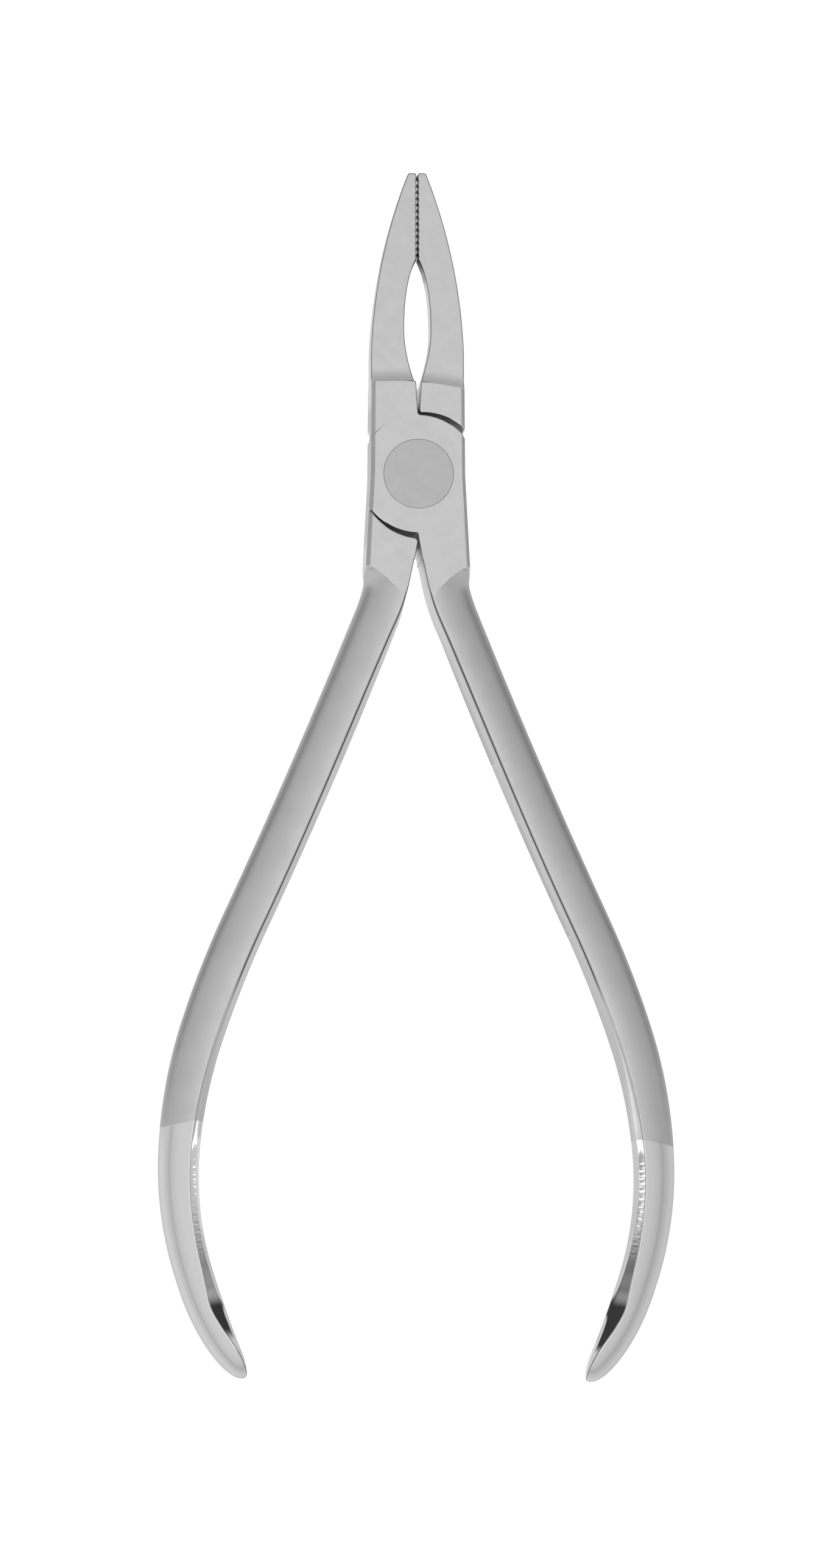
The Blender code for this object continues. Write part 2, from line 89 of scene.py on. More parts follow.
def ringMesh(name, rings):
    # Closed surface through a stack of rings: point j of ring i joins point j of ring i + 1,
    # and one flat face closes each end. The rings are a (rows, columns, 3) array.
    rows, cols = rings.shape[:2]
    index = np.arange(rows * cols).reshape(rows, cols)
    ahead = np.roll(index, -1, axis=1)
    quads = np.stack((index[:-1], ahead[:-1], ahead[1:], index[1:]), axis=-1).reshape(-1, 4)
    faces = quads.tolist() + [index[0, ::-1].tolist(), index[-1].tolist()]
    mesh = bpy.data.meshes.new(name)
    mesh.from_pydata((rings.reshape(-1, 3) * mm).tolist(), [], faces)
    shape = bmesh.new()
    shape.from_mesh(mesh)
    bmesh.ops.recalc_face_normals(shape, faces=shape.faces)
    shape.to_mesh(mesh)
    shape.free()
    obj = bpy.data.objects.new(name, mesh)
    bpy.context.scene.collection.objects.link(obj)
    return obj


def prism(name, outlines, heights):
    # The same number of outline points at each height, from the bottom up
    rings = [np.column_stack((o, np.full(len(o), z))) for o, z in zip(outlines, heights)]
    return ringMesh(name, np.array(rings))


def turned(name, profile, steps):
    # Surface of revolution: (r cos a, r sin a, z) for each (r, z) of the profile
    a = np.linspace(0, 2 * np.pi, steps, endpoint=False)
    r, z = np.array(profile, float).T
    rings = np.stack((r[:, None] * np.cos(a), r[:, None] * np.sin(a),
                      np.repeat(z[:, None], steps, axis=1)), axis=-1)
    return ringMesh(name, rings)


def combine(obj, tool, operation):
    step = obj.modifiers.new(tool.name, "BOOLEAN")
    step.operation = operation
    step.object = tool
    step.solver = "EXACT"
    tool.hide_render = True


def evaluated(obj, name):
    graph = bpy.context.evaluated_depsgraph_get()
    mesh = bpy.data.meshes.new_from_object(obj.evaluated_get(graph))
    mesh.name = name
    return mesh


def smoothShaded(mesh, degrees):
    mesh.shade_smooth()
    mesh.set_sharp_from_angle(angle=math.radians(degrees))


# Joint, lap, jaws and eye: the plan of the upper half, with its jaw at the left

jointShape = dict(halfWidth=5.42, jawSideInset=0.09, heelHalfWidth=6.00, heelY=-10.9,
                  heelFlare=0.42, heelFlareLength=2.3, chamferIn=0.42, chamferDown=0.9)
lapShape = dict(radius=6.85, edgeGap=0.445, shoulderX=-0.5, shoulderY=-0.2, faceGap=0.1, jawCorner=0.3,
                handleCorner=0.62, sideOverrun=0.6, crotchOverlap=0.1, crotchHalfGap=0.38,
                crotchLength=2.75, clearShare=6, arcSteps=40, roomSteps=90, cornerSteps=8)
jawShape = dict(length=35.2, tipHalfWidth=1.10, tipCorner=0.26, tipInnerCorner=0.25, flankStartY=12.0,
                flankInset=0.05, baseThickness=3.9, tipThickness=2.5, gap=0.03, landDraft=0.06,
                flankSteps=60, cornerSteps=6)
# The land is at least 0.07 longer than a whole number of pitches, so that the eye starts below
# the last groove
teeth = dict(landLength=9.6, pitch=0.73, depth=0.10, land=0.23, firstDrop=0.66)
eye = dict(halfWidth=1.53, widestY=17.0, bottomY=10.4, bottomHalfWidth=0.27, topHalfWidth=1.07,
           throatHalfWidth=0.67, slitHalfWidth=0.08, slitFillet=0.3, sidePull=0.42, endPull=0.22,
           curveSteps=28, cornerSteps=8)
cove = dict(edgeRadius=37.0, axisX=2.4, topY=10.8, run=1.9, riseRun=0.15, hollowRise=0.46, swing=15.0,
            hollowPoints=25, swingPoints=61)


def jawFlank(y):
    # Half width of a jaw: an arc along the joint's side at its foot, in to the tip's width
    base = jointShape["halfWidth"] - jawShape["flankInset"]
    run = jawShape["length"] - jawShape["tipCorner"] - jawShape["flankStartY"]
    fall = base - jawShape["tipHalfWidth"]
    radius = (run ** 2 + fall ** 2) / (2 * fall)
    return base - radius + np.sqrt(radius ** 2 - (y - jawShape["flankStartY"]) ** 2)


def toothLine(face):
    # Grooves down the land: top edge, root and bottom edge of each, repeated at the pitch
    count = int(teeth["landLength"] / teeth["pitch"])
    top = jawShape["length"] - teeth["firstDrop"] - teeth["pitch"] * np.arange(count)
    groove = teeth["pitch"] - teeth["land"]
    x = np.tile([face, face - teeth["depth"], face], count)
    y = (top[:, None] - groove * np.array([0, 0.5, 1])).ravel()
    return np.column_stack((x, y))


def eyeLine(face):
    # Two Beziers: from the land's end out to the widest place, and from there in to the bottom
    landEnd = jawShape["length"] - teeth["landLength"] - teeth["pitch"] / 2
    rise = landEnd - eye["widestY"]
    fall = eye["widestY"] - eye["bottomY"]
    upper = bezier((face, landEnd), (-eye["topHalfWidth"], landEnd - eye["endPull"] * rise),
                   (-eye["halfWidth"], eye["widestY"] + eye["sidePull"] * rise),
                   (-eye["halfWidth"], eye["widestY"]), eye["curveSteps"])
    lower = bezier((-eye["halfWidth"], eye["widestY"]),
                   (-eye["halfWidth"], eye["widestY"] - eye["sidePull"] * fall),
                   (-eye["throatHalfWidth"], eye["bottomY"] + eye["endPull"] * fall),
                   (-eye["bottomHalfWidth"], eye["bottomY"]), eye["curveSteps"])
    return np.vstack((upper, lower[1:]))


def halfOutline(reach, height):
    # The lands lean away from each other with the height above the middle plane
    face = -jawShape["gap"] / 2 - jawShape["landDraft"] * abs(height)
    inner = jawShape["tipInnerCorner"]
    length = jawShape["length"]
    r = lapShape["radius"]
    slit, fillet = eye["slitHalfWidth"], eye["slitFillet"]
    side = math.degrees(math.acos((jointShape["halfWidth"] + lapShape["sideOverrun"]) / r))
    sideY = r * math.sin(math.radians(side))
    past = jointShape["heelHalfWidth"] + spare
    slitAngle = 90 - math.degrees(math.asin(fillet / r))
    crotchAngle = 270 - math.degrees(math.asin(lapShape["crotchOverlap"] / r))
    gap = lapShape["crotchHalfGap"]
    top = length - jawShape["tipCorner"]
    flankY = np.linspace(jawShape["flankStartY"], top, jawShape["flankSteps"])
    tipX = -jawFlank(top)
    return np.vstack((
        easedCorner((face - inner, length), (face, length), (face, length - inner),
                    jawShape["cornerSteps"]),
        toothLine(face),
        eyeLine(face),
        easedCorner((-slit, r + fillet), (-slit, r), (fillet, onCircle(r, fillet)), eye["cornerSteps"]),
        arcPoints(r, slitAngle, side, lapShape["arcSteps"])[1:],
        [(past, sideY), (past, jointShape["heelY"]), (reach, jointShape["heelY"]), (reach, -reach),
         (gap, -reach), (gap, -r - lapShape["crotchLength"])],
        arcPoints(r, crotchAngle, 180 + side, lapShape["arcSteps"]),
        [(-past, -sideY), (-past, jawShape["flankStartY"])],
        np.column_stack((-jawFlank(flankY), flankY)),
        easedCorner((tipX, top), (tipX + jawShape["tipCorner"] / 4, length),
                    (tipX + jawShape["tipCorner"], length), jawShape["cornerSteps"])[1:],
    ))


def jointOutline(reach):
    # Both halves' plan together: nearly straight sides that flare below the heel, mirrored
    heelEndX = jointShape["heelHalfWidth"] + jointShape["heelFlare"]
    heelEndY = jointShape["heelY"] - jointShape["heelFlareLength"]
    far = reach + spare
    jawSide = jointShape["halfWidth"] - jointShape["jawSideInset"]
    right = np.array([(jawSide, far / 2), (jawSide, jawShape["flankStartY"]),
                      (jointShape["halfWidth"], 0.0), (jointShape["heelHalfWidth"], jointShape["heelY"]),
                      (heelEndX, heelEndY), (far, heelEndY), (far, -far)])
    return np.vstack((right, right[::-1] * (-1, 1)))


def lapRoomOutline():
    # Room for the other half's lap: a circle a little off the pin's axis, so the gap runs from
    # narrow to wide along each shoulder, with two eased corners
    r = lapShape["radius"] + lapShape["edgeGap"]
    centre = np.array((lapShape["shoulderX"], lapShape["shoulderY"]))
    slit = eye["slitHalfWidth"]
    jawX = -slit - lapShape["jawCorner"]
    handleX = lapShape["handleCorner"]
    top = r + lapShape["jawCorner"]
    bottom = -r - lapShape["handleCorner"]
    clear = lapShape["radius"] / lapShape["clearShare"]   # the corners run out past the circle from here
    overlap = lapShape["crotchOverlap"]

    def angle(x):
        return math.degrees(math.acos((x - centre[0]) / r))

    def above(x):
        return x, centre[1] + onCircle(r, x - centre[0])

    def below(x):
        return x, centre[1] - onCircle(r, x - centre[0])

    return np.vstack((
        arcPoints(r, -angle(handleX), angle(clear), lapShape["roomSteps"]) + centre,
        [(clear, top)],
        easedCorner((-slit, top), above(-slit), above(jawX), lapShape["cornerSteps"]),
        (arcPoints(r, angle(jawX), 360 - angle(-clear), lapShape["roomSteps"]) + centre)[1:],
        [(-clear, bottom)],
        easedCorner((overlap, bottom), below(0.0), below(handleX), lapShape["cornerSteps"])[:-1],
    ))


def coveCutter(name, side):
    # Section (radius, height) swept round an upright axis beside the pin: a steep rise from the
    # joint's face, a hollow that runs out as the cube of the distance, then a straight taper
    base = jawShape["baseThickness"] / 2
    part = np.linspace(1, 0, cove["hollowPoints"])
    out = jawShape["length"] + spare - cove["topY"]
    taper = (base - jawShape["tipThickness"] / 2) / (jawShape["length"] - cove["topY"] - cove["run"])
    radius = np.concatenate(([0, 0], cove["run"] - (cove["run"] - cove["riseRun"]) * part,
                             [out, out])) + cove["edgeRadius"]
    height = np.concatenate(([halfThickness + spare, halfThickness], base + cove["hollowRise"] * part ** 3,
                             [base - taper * (out - cove["run"]), halfThickness + spare]))
    b = np.radians(np.linspace(-cove["swing"], cove["swing"], cove["swingPoints"]))[:, None]
    rings = np.stack((radius * np.sin(b) - side * cove["axisX"],
                      radius * np.cos(b) + cove["topY"] - cove["edgeRadius"],
                      np.broadcast_to(side * height, (len(b), len(height)))), axis=-1)
    return ringMesh(name, rings)


# Handle: a drafted inner face, a chamfer and a crowned back, carried along a bowed line. The ripples'
# two places are measured from the handle's end, and each wave is its length and its slant.

handle = dict(innerX=0.17, startY=-7.5, startAngle=8.5, heelWidth=jointShape["heelHalfWidth"] - 0.56,
              lengths=(4.0, 5.0, 38.0, 14.0, 14.0, 14.0, 13.7),
              turns=(-2.4, 15.4, 3.2, -6.8, -14.3, -20.4, -8.3),
              width=5.3, halfHeight=2.93, endWidth=4.26, endHalfHeight=2.15, ridgeSlope=5.0,
              endRidgeSlope=14.0, fineFrom=14.0, ringStep=0.5, pathPoints=8001, edgeSteps=8,
              crownSteps=40, blankSpare=20.0)
handleEnd = dict(sweepLength=12.0, cornerLength=3.4, cornerWidth=0.9, roundLength=4.0, runOut=6.5,
                 lastAngle=88.8, rings=90)
ripple = dict(nearest=14.5, farthest=27.0, fade=4.0, step=0.07, depth=0.006,
              waves=((0.31, 0.6), (0.47, -0.4), (0.83, 0.3)))
heel = dict(coveFoot=6.3, coveRadius=2.9, bulge=0.54, bulgeStart=0.5, openRun=1.4, openRise=2.4,
            openBulge=0.8, openY=-8.3, coveAngle=88.0, coveSteps=22, shankRings=16)
seam = dict(flatWithin=1e-6, squareFrom=0.999, weld=0.001 * mm)
handleLength = sum(handle["lengths"])


def handlePath(along):
    # Centre line by its heading: it turns evenly along each stretch, so the point is the
    # running sum of (sin, -cos) of the heading over fine steps
    ends = np.cumsum((0,) + handle["lengths"])
    headings = np.radians(handle["startAngle"] + np.cumsum((0,) + handle["turns"]))
    s = np.linspace(0, handleLength, handle["pathPoints"])
    heading = np.interp(s, ends, headings)
    middle = (heading[1:] + heading[:-1]) / 2
    step = s[1] - s[0]
    x = np.concatenate(([0], np.cumsum(np.sin(middle)) * step)) + handle["innerX"] + handle["heelWidth"] / 2
    y = np.concatenate(([0], np.cumsum(-np.cos(middle)) * step)) + handle["startY"]
    return np.interp(along, s, x), np.interp(along, s, y), np.interp(along, s, heading)


def handleSizes(along):
    # A smooth cubic through the stated sections, whose slope at each is the mean of the slopes on
    # both sides. A row is the place along the handle, then the width, the crown's half height, the
    # draft, the inner edge's width, height and roundness, and the slope of the crown's ridge.
    h, w, e, t = handle["halfHeight"], handle["width"], handle["endWidth"], handle["endHalfHeight"]
    heelWidth, runOut = handle["heelWidth"], handleEnd["runOut"]
    ends = np.cumsum(handle["lengths"])
    ridge, endRidge = handle["ridgeSlope"], handle["endRidgeSlope"]
    rows = np.array([
        (2.0, heelWidth, halfThickness + 0.06, 0.00, 0.10, 0.15, 1.0, ridge),
        (5.0, heelWidth - 0.40, halfThickness + 0.04, 0.05, 0.20, 0.30, 1.0, ridge),
        (8.0, heelWidth - 0.30, halfThickness - 0.04, 0.25, 0.32, 0.45, 1.0, ridge),
        (12.0, w - 0.10, h + 0.49, 0.42, 0.40, 0.50, 1.0, ridge),
        (ends[2], w, h, 0.51, 0.44, 0.52, 1.0, ridge),
        (ends[3], w - 0.11, h - 0.14, 0.52, 0.52, 0.60, 0.8, ridge),
        (ends[4], e + 0.52, t + 0.47, 0.46, 0.70, 0.80, 0.0, endRidge),
        (ends[5], e + 0.20, t + 0.25, 0.42, 0.98, 1.20, 0.0, endRidge),
        (ends[5] + 2.5, e + 0.17, t + 0.20, 0.40, 1.20, 1.48, 0.0, endRidge),
        (ends[5] + 4.8, e + 0.14, t + 0.17, 0.34, 1.48, 1.82, 0.0, endRidge),
        (ends[6] - runOut, e + 0.09, t + 0.12, 0.30, 1.15, 1.45, 0.0, endRidge),
        (ends[6] - runOut * 0.6, e + 0.05, t + 0.05, 0.25, 0.58, 0.90, 0.0, endRidge),
        (ends[6], e, t, 0.20, 0.10, 0.50, 0.0, endRidge),
    ])
    at, size = rows[:, 0], rows[:, 1:]
    chord = np.diff(size, axis=0) / np.diff(at)[:, None]
    slope = (np.vstack((chord[:1], chord)) + np.vstack((chord, chord[-1:]))) / 2
    along = np.clip(along, at[0], at[-1])
    i = np.clip(np.searchsorted(at, along, side="right") - 1, 0, len(at) - 2)
    step = (at[i + 1] - at[i])[:, None]
    u = (along[:, None] - at[i][:, None]) / step
    return (size[i] * (1 + 2 * u) * (1 - u) ** 2 + size[i + 1] * (3 - 2 * u) * u * u
            + step * (slope[i] * u * (1 - u) ** 2 - slope[i + 1] * (1 - u) * u * u))


def facetRipple(along):
    # Ripples that the polishing belt left on the inner facet: three slanting sine waves added up,
    # faded in and out along the handle and towards the facet's two borders
    fromEnd = handleLength - along
    fade = (np.clip((fromEnd - ripple["nearest"]) / ripple["fade"], 0, 1)
            * np.clip((ripple["farthest"] - fromEnd) / ripple["fade"], 0, 1))
    part = np.linspace(0, 1, handle["edgeSteps"] + 1)[:-1]
    wave = sum(np.sin(2 * np.pi * (along[:, None] / length + slant * part))
               for length, slant in ripple["waves"])
    return ripple["depth"] * fade[:, None] * np.sin(np.pi * part) * wave


def crownRings(inner, outer, height, draft, edgeWidth, edgeHeight, roundness, ridge, rippled=0.0):
    # Section of the handle: up the drafted inner face, over an edge that is a straight line
    # blended with a quarter ellipse by its roundness, then an arc of an ellipse down to the
    # outer edge, and the same below. The ripples stand square on the edge. Every argument is
    # one value per ring, and the ripples one per ring and step of the edge.
    inner, outer, height, draft, edgeWidth, edgeHeight, roundness, ridge = (
        v[:, None] for v in (inner, outer, height, draft, edgeWidth, edgeHeight, roundness, ridge))
    part = np.linspace(0, 1, handle["edgeSteps"] + 1)[:-1]
    turn = part * np.pi / 2
    slant = np.hypot(edgeWidth, edgeHeight)
    edgeAcross = (inner + draft + edgeWidth * (part + roundness * (1 - np.cos(turn) - part))
                  - rippled * edgeHeight / slant)
    edgeUp = (height - edgeHeight + edgeHeight * (part + roundness * (np.sin(turn) - part))
              + rippled * edgeWidth / slant)
    first = np.radians(ridge)
    a = first + (np.pi / 2 - first) * np.linspace(0, 1, handle["crownSteps"] + 1)[:-1]
    crownWidth = (outer - inner - draft - edgeWidth) / (1 - np.sin(first))
    across = np.hstack((edgeAcross, outer - crownWidth * (1 - np.sin(a))))
    up = np.hstack((edgeUp, height / np.cos(first) * np.cos(a)))
    zero = np.zeros_like(inner)
    return np.hstack((inner, across, outer, across[:, ::-1])), np.hstack((zero, up, zero, -up[:, ::-1]))


def endShare(along, length):
    # Quarter ellipse that falls from one to nothing over the last length of the handle
    part = np.clip(1 - (handleLength - along) / length, 0, 1)
    return np.sqrt(1 - part ** 2)


def handleRings(along, lift=0.0, widen=0.0):
    # The section at each place, low and narrow towards the rounded end, set square on the path
    width, height, draft, edgeWidth, edgeHeight, roundness, ridge = handleSizes(along).T
    corner = handleEnd["cornerWidth"]
    low = endShare(along, handleEnd["roundLength"])
    inner = -width / 2 + corner * (1 - endShare(along, handleEnd["cornerLength"]))
    outer = -width / 2 + corner + (width - corner) * endShare(along, handleEnd["sweepLength"]) + widen
    opened = (lift + edgeHeight) / edgeHeight
    across, up = crownRings(inner, outer, (height + lift) * low, draft * low, edgeWidth * opened * low,
                            edgeHeight * opened * low, roundness, ridge, facetRipple(along))
    x, y, heading = (v[:, None] for v in handlePath(along))
    return np.stack((x + across * np.cos(heading), y + across * np.sin(heading), up), axis=-1)


def heelRings():
    # The crown above the heel opens through a cove, so that it bounds only the handle there
    wide = np.full(2, jointShape["heelHalfWidth"] + spare)
    none = np.zeros(2)
    across, up = crownRings(-wide, wide, np.full(2, halfThickness + 2 * spare), none, none,
                            np.full(2, spare), none, np.full(2, handle["ridgeSlope"]))
    y = np.array([jawShape["length"] + spare, heel["openY"]])[:, None]
    opening = np.stack((across, np.broadcast_to(y, across.shape), up), axis=-1)
    a = np.radians(np.linspace(heel["coveAngle"], 0, heel["coveSteps"] + 1)[:-1])
    back = heel["coveRadius"] * np.sin(a)
    part = np.clip((back - heel["bulgeStart"]) / (heel["coveRadius"] - heel["bulgeStart"]), 0, None)
    shank = np.linspace(heel["coveFoot"], handle["fineFrom"], heel["shankRings"])
    plain = np.zeros(len(shank))
    along = np.concatenate(([heel["coveFoot"] - heel["coveRadius"] - heel["openRun"]],
                            heel["coveFoot"] - back, shank))
    lift = np.concatenate(([heel["coveRadius"] + heel["openRise"]],
                           heel["coveRadius"] * (1 - np.cos(a)), plain))
    widen = np.concatenate(([heel["openBulge"]], heel["bulge"] * part ** 2, plain))
    return np.concatenate((opening, handleRings(along, lift, widen)))


def fineHandleRings():
    # Even steps to the end's sweep, fine ones along the ripples, then closer and closer ones
    # round the end
    first, last = handleLength - ripple["farthest"], handleLength - ripple["nearest"]
    sweep, step = handleEnd["sweepLength"], handle["ringStep"]
    angles = np.radians(np.linspace(0, handleEnd["lastAngle"], handleEnd["rings"]))
    return handleRings(np.concatenate((
        np.arange(handle["fineFrom"], first, step),
        np.arange(first, last, ripple["step"]),
        np.arange(last, handleLength - sweep, step),
        handleLength - sweep * (1 - np.sin(angles)))))


def joinedHandle(mesh, rings):
    # Opens the flat end where the crown was cut off and carries the surface on from its ring
    shape = bmesh.new()
    shape.from_mesh(mesh)
    first = rings[0].mean(axis=0) * mm
    step = rings[0, 0] - rings[0, len(rings[0]) // 2]
    flat = np.cross(step, (0, 0, 1))
    flat /= np.linalg.norm(flat)
    ends = [f for f in shape.faces
            if abs((np.array(f.calc_center_median()) - first) @ flat) < seam["flatWithin"]
            and abs(f.normal @ Vector(flat)) > seam["squareFrom"]]
    bmesh.ops.delete(shape, geom=ends, context="FACES")
    rows, cols = rings.shape[:2]
    verts = [shape.verts.new(p) for p in (rings.reshape(-1, 3) * mm).tolist()]
    index = np.arange(rows * cols).reshape(rows, cols)
    ahead = np.roll(index, -1, axis=1)
    quads = np.stack((index[:-1], index[1:], ahead[1:], ahead[:-1]), axis=-1).reshape(-1, 4)
    for quad in quads.tolist():
        shape.faces.new([verts[i] for i in quad])
    shape.faces.new([verts[i] for i in index[-1].tolist()])
    bmesh.ops.remove_doubles(shape, verts=shape.verts, dist=seam["weld"])
    bmesh.ops.recalc_face_normals(shape, faces=shape.faces)
    openEdges = sum(1 for e in shape.edges if not e.is_manifold)
    shape.to_mesh(mesh)
    shape.free()
    print("half joined,", openEdges, "open edges,", len(mesh.polygons), "faces")


def forgedHalf():
    # The blank is cut to the joint's block, the handle's crown, both coves and the lap's room
    reach = handleLength + handle["blankSpare"]
    deep = halfThickness + spare
    heights = (-deep, 0.0, deep)
    blank = prism("blank", [halfOutline(reach, height) for height in heights], heights)
    plan = jointOutline(reach)
    small = insetOutline(plan, jointShape["chamferIn"])
    shoulder = halfThickness - jointShape["chamferDown"]
    block = prism("block", [small, plan, plan, small],
                  (-halfThickness, -shoulder, shoulder, halfThickness))
    crown = ringMesh("crown", heelRings())
    roomPlan = lapRoomOutline()
    lapRoom = prism("lapRoom", [roomPlan, roomPlan], (-deep, lapShape["faceGap"] / 2))
    cuts = ((block, "INTERSECT"), (crown, "INTERSECT"), (coveCutter("frontCove", 1), "DIFFERENCE"),
            (coveCutter("backCove", -1), "DIFFERENCE"), (lapRoom, "DIFFERENCE"))
    for tool, operation in cuts:
        combine(blank, tool, operation)
    mesh = evaluated(blank, "forgedHalf")
    for obj in [tool for tool, _ in cuts] + [blank]:
        bpy.data.objects.remove(obj, do_unlink=True)
    joinedHandle(mesh, fineHandleRings())
    return mesh


# Pin: a flush head, a shank and a riveted tail, and the bore that takes it

pin = dict(headRadius=4.0, headThickness=1.7, shankRadius=2.8, tailRadius=3.4, tailLength=1.1,
           clearance=0.02, edge=0.02, steps=128, boreSteps=96)
sharpFrom = dict(halves=24.0, pin=30.0)   # degrees between faces, from which their edge stays sharp


def pinBore():
    # The pin's own profile, wider by the clearance and open at both ends
    c = pin["clearance"]
    head, tail = pin["headRadius"] + c, pin["tailRadius"] + c
    under = 2 * halfThickness - pin["headThickness"] - c
    return turned("pinBore", [(head, 2 * halfThickness + spare), (head, under),
                              (pin["shankRadius"] + c, under), (pin["shankRadius"] + c, pin["tailLength"]),
                              (tail, 0.0), (tail, -spare)], pin["boreSteps"])


def finePin():
    # From the head's face down to the tail's, with a small chamfer round both
    e, top = pin["edge"], 2 * halfThickness
    under = top - pin["headThickness"]
    return turned("fineMadePin", [(pin["headRadius"] - e, top), (pin["headRadius"], top - e),
                                  (pin["headRadius"], under), (pin["shankRadius"], under),
                                  (pin["shankRadius"], pin["tailLength"]), (pin["tailRadius"], e),
                                  (pin["tailRadius"] - e, 0.0)], pin["steps"])


def placedHalf(name, mesh, flipped, hole):
    # Half a turn about Y for the lower half, then up onto the joint's back face
    co = np.empty(len(mesh.vertices) * 3)
    mesh.vertices.foreach_get("co", co)
    co = co.reshape(-1, 3) * ((-1, 1, -1) if flipped else (1, 1, 1)) + (0, 0, halfThickness * mm)
    mesh.vertices.foreach_set("co", co.ravel())
    mesh.update()
    rough = bpy.data.objects.new("rough", mesh)
    bpy.context.scene.collection.objects.link(rough)
    combine(rough, hole, "DIFFERENCE")
    fine = evaluated(rough, name)
    bpy.data.objects.remove(rough, do_unlink=True)
    smoothShaded(fine, sharpFrom["halves"])
    obj = bpy.data.objects.new(name, fine)
    bpy.context.scene.collection.objects.link(obj)
    return obj


halfMesh = forgedHalf()
bore = pinBore()
upperHalf = placedHalf("fineUpperHalf", halfMesh.copy(), False, bore)
lowerHalf = placedHalf("fineLowerHalf", halfMesh, True, bore)
bpy.data.objects.remove(bore, do_unlink=True)
pivotPin = finePin()
smoothShaded(pivotPin.data, sharpFrom["pin"])
print("halves and pin made")


# Finishes. Places on a piece are in millimetres. A pair of numbers is where a smooth step starts and
# ends: of a place, of level, which is one on a level face and nothing on an upright one, or of turn,
# which is one on a plain face and falls where a rounded edge turns away from it. The shades of edge,
# chamfer, rim and nook are painted: on real pliers they are mostly reflections, and here they stay
# on the steel in any light.

steel = dict(tone=0.70, pinTone=0.58, toneSpread=0.03, roughness=0.44, roughSpread=0.03,
             grainScale=900, grainDetail=6, mottleScale=420, mottleDetail=2, noiseSpan=(0.25, 0.75),
             grainBump=0.3, bumpDepth=0.01 * mm)
edge = dict(radius=0.25 * mm, pinRadius=0.06 * mm, samples=8, pinEnd=(4.2, 4.7),
            wornTurn=(0.985, 1.0), roughness=0.15, darkTurn=(0.90, 0.985), darkness=0.88,
            jointTop=(9.0, 9.8), jointMiddle=3.6, slitMiddle=0.9, middleFade=(0.0, 0.4),
            jaws=(11.1, 11.5), handles=(-15.5, -14.5))
chamfer = dict(along=(-10.9, 10.9), alongFade=0.3, aside=(4.3, 4.6), lineTurn=(0.90, 0.95),
               lineBrightness=0.50, level=(0.38, 0.47), levelFade=0.04, darkness=0.24)
rim = dict(inward=(-0.5, -0.2), along=(-57.0, -15.0), alongFade=5.0, level=(0.60, 0.82),
           levelFade=0.08, darkness=0.78)
nook = dict(along=(23.3, 25.5), alongFade=1.5, aside=(0.9, 1.3), level=(0.30, 0.50))
wall = dict(level=(0.15, 0.35), lapEnd=(7.4, 8.4), teethStart=(23.5, 24.5), roughness=0.27)
polish = dict(upperStart=-76.5, lowerStart=-74.85, fall=0.14, innerX=25.5, softness=0.12,
              tone=0.86, roughness=0.05, bump=0.02)
nodeGrid = dict(columns=12, across=220, down=320)


def addNode(tree, kind, **values):
    # Nodes stand in rows, in the order in which they are added
    row, column = divmod(len(tree.nodes), nodeGrid["columns"])
    node = tree.nodes.new(kind)
    node.location = (column * nodeGrid["across"], -row * nodeGrid["down"])
    for key, value in values.items():
        setattr(node, key, value)
    return node


def feed(tree, socket, value):
    if isinstance(value, (int, float)):
        socket.default_value = value
    else:
        tree.links.new(value, socket)


def mathNode(tree, operation, *values):
    node = addNode(tree, "ShaderNodeMath", operation=operation)
    for socket, value in zip(node.inputs, values):
        feed(tree, socket, value)
    return node.outputs[0]


def product(tree, first, *others):
    for other in others:
        first = mathNode(tree, "MULTIPLY", first, other)
    return first


def mapped(tree, value, low, high, start, end, smooth=True):
    # Carries value from low..high to start..end, along a smooth step or a straight line
    node = addNode(tree, "ShaderNodeMapRange", interpolation_type="SMOOTHSTEP" if smooth else "LINEAR")
    names = ("Value", "From Min", "From Max", "To Min", "To Max")
    for name, number in zip(names, (value, low, high, start, end)):
        feed(tree, node.inputs[name], number)
    return node.outputs["Result"]


def rising(tree, value, span):
    return mapped(tree, value, *span, 0.0, 1.0)


def falling(tree, value, span):
    return mapped(tree, value, *span, 1.0, 0.0)


def inside(tree, value, span, fade):
    # One inside the span, down to nothing within the fade on both sides of it
    low, high = span
    return product(tree, rising(tree, value, (low - fade, low)), falling(tree, value, (high, high + fade)))


def mixed(tree, share, a, b):
    node = addNode(tree, "ShaderNodeMix", data_type="FLOAT")
    for name, value in (("Factor", share), ("A", a), ("B", b)):
        feed(tree, node.inputs[name], value)
    return node.outputs["Result"]


def noise(tree, vector, scale, detail):
    node = addNode(tree, "ShaderNodeTexNoise")
    node.inputs["Scale"].default_value = scale
    node.inputs["Detail"].default_value = detail
    tree.links.new(vector, node.inputs["Vector"])
    return node.outputs["Fac"]


def splitVector(tree, vector):
    node = addNode(tree, "ShaderNodeSeparateXYZ")
    tree.links.new(vector, node.inputs["Vector"])
    return node.outputs["X"], node.outputs["Y"], node.outputs["Z"]


